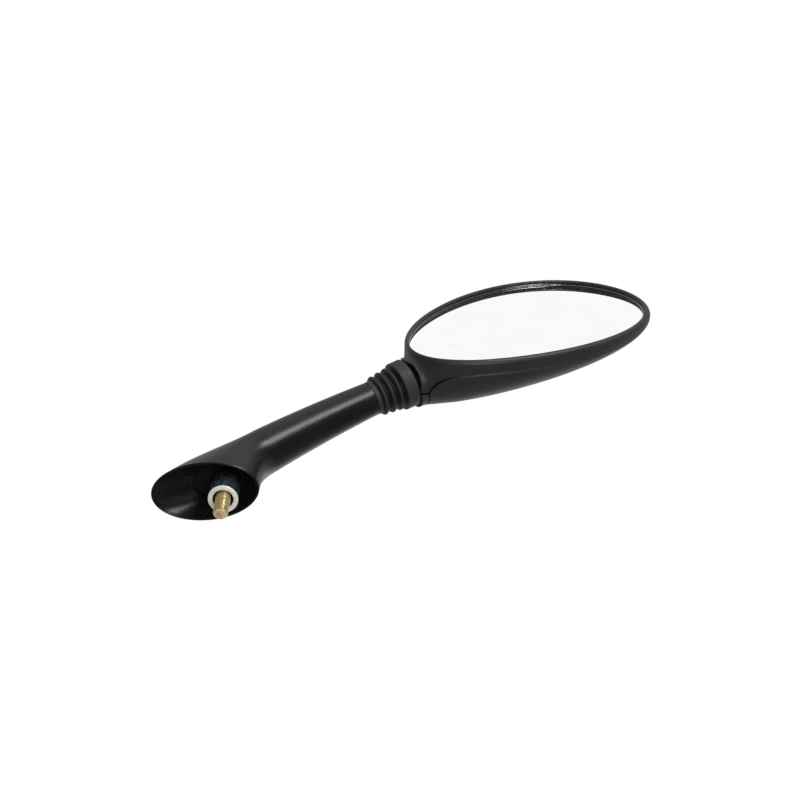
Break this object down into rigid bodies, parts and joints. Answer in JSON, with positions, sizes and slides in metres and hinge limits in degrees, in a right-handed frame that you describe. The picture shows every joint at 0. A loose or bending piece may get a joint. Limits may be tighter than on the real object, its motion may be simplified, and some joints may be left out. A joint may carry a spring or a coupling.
{
  "type": "handlebar mirror",
  "caption": "Egg-shaped handlebar mirror on a curved moulded arm, set by a ball joint under a ribbed bellows and fixed by a threaded stud.",
  "frame": {"origin": "centre of the foot sleeve's end face, on the stud's axis", "axes": "stud along -Z, mirror glass looks along -Y, arm and head lie towards +X and +Z"},
  "size_m": [0.2853, 0.062, 0.2293],
  "materials": {
    "arm_plastic": "satin",
    "head_plastic": "satin",
    "core_steel": "mill",
    "sleeve_zinc": "bright zinc face, dark sides",
    "stud_yellow": "yellow chromate",
    "bright_steel": "plated",
    "cast_alloy": "as cast",
    "nylon": "moulded",
    "rubber": "matt",
    "bead_rubber": "gloss",
    "mirror_glass": "mirror",
    "foam_pad": "foam",
    "holder_plastic": "moulded"
  },
  "bodies": {
    "arm_body": {"arm": "arm_plastic", "core_rod": "core_steel", "foot_sleeve": "sleeve_zinc", "mounting_stud": "stud_yellow", "end_bush": "nylon", "ball_stud": "bright_steel"},
    "lower_cup_body": {"lower_cup": "nylon"},
    "upper_cup_body": {"upper_cup": "nylon"},
    "head_body": {"socket_body": "cast_alloy", "disc_springs": "bright_steel", "socket_ring": "bright_steel", "bellows": "rubber", "head_front": "head_plastic", "head_back": "head_plastic", "neck_clip": "head_plastic", "glass": "mirror_glass", "glass_bead": "bead_rubber", "glass_pad": "foam_pad", "glass_holder": "holder_plastic", "socket_screws": "bright_steel"}
  },
  "joints": [
    {"name": "tilt", "type": "hinge", "parent": "arm_body", "child": "lower_cup_body", "pos_m": [0.09417, -0.02348, 0.09432], "axis": [0.2419, 0.9703, 0], "range_deg": [-12, 12], "deforming": ["bellows"]},
    {"name": "swing", "type": "hinge", "parent": "lower_cup_body", "child": "upper_cup_body", "pos_m": [0.09417, -0.02348, 0.09432], "axis": [-0.4555, 0.1136, 0.8829], "range_deg": [-12, 12], "deforming": ["bellows"]},
    {"name": "twist", "type": "hinge", "parent": "upper_cup_body", "child": "head_body", "pos_m": [0.09417, -0.02348, 0.09432], "axis": [0.8567, -0.2136, 0.4695], "range_deg": [-20, 20], "deforming": ["bellows"]}
  ]
}
